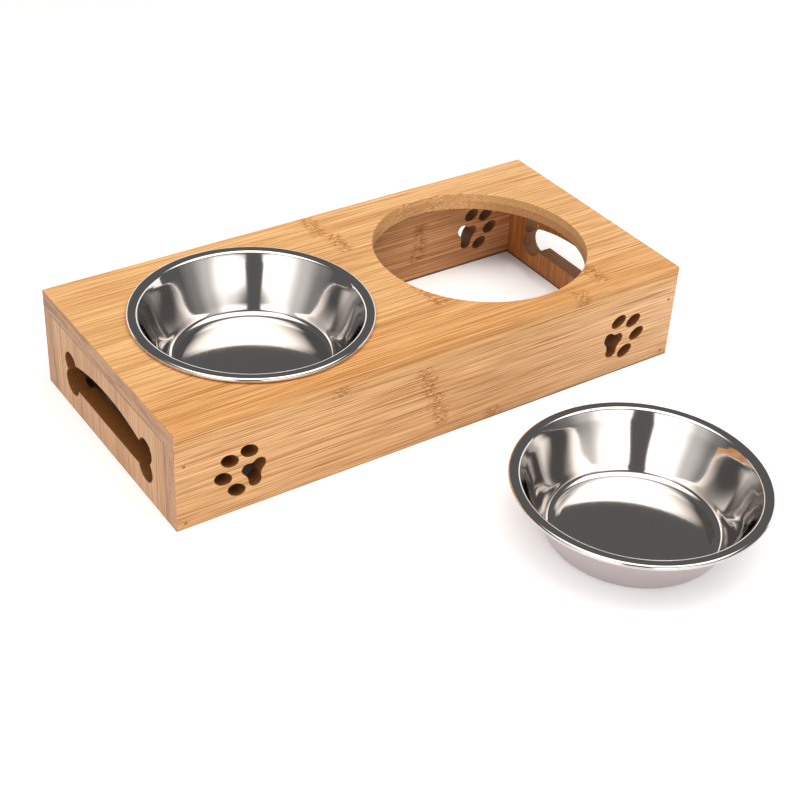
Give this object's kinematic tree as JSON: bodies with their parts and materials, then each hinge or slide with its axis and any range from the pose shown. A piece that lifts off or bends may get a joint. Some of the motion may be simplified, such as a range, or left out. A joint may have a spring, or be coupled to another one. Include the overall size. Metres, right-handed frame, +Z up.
{
  "type": "pet bowl stand",
  "caption": "Low bamboo box that holds pet bowls at a raised height, with round seats in its top, paw-print cut-outs, bone-shaped hand holes and lift-out steel bowls.",
  "frame": {"origin": "middle of the whole set's footprint on the floor, with the loose bowl standing in front of the stand", "axes": "+X along the stand towards its right end, +Y from its front to its back, +Z up"},
  "size_m": [0.38, 0.393, 0.0738],
  "materials": {
    "bamboo": "satin lacquered bamboo board in two layers",
    "bowl_steel": "polished inside, satin outside",
    "brad_steel": "dull",
    "dowel_wood": "plain beech"
  },
  "bodies": {
    "stand": {"top_panel": "bamboo", "front_panel": "bamboo", "back_panel": "bamboo", "left_end_panel": "bamboo", "right_end_panel": "bamboo", "front_left_brads": "brad_steel", "front_right_brads": "brad_steel", "back_left_brads": "brad_steel", "back_right_brads": "brad_steel", "front_dowels": "dowel_wood", "back_dowels": "dowel_wood", "left_dowels": "dowel_wood", "right_dowels": "dowel_wood"},
    "seated_bowl": {"left_bowl": "bowl_steel"},
    "loose_bowl": {"right_bowl": "bowl_steel"}
  },
  "joints": [
    {"name": "left_bowl_lift", "type": "slide", "parent": "stand", "child": "seated_bowl", "axis": [0, 0, 1], "range_m": [0, 0.08]},
    {"name": "right_bowl_lift", "type": "slide", "parent": "stand", "child": "loose_bowl", "axis": [0, 0, 1], "range_m": [0, 0.08]}
  ]
}
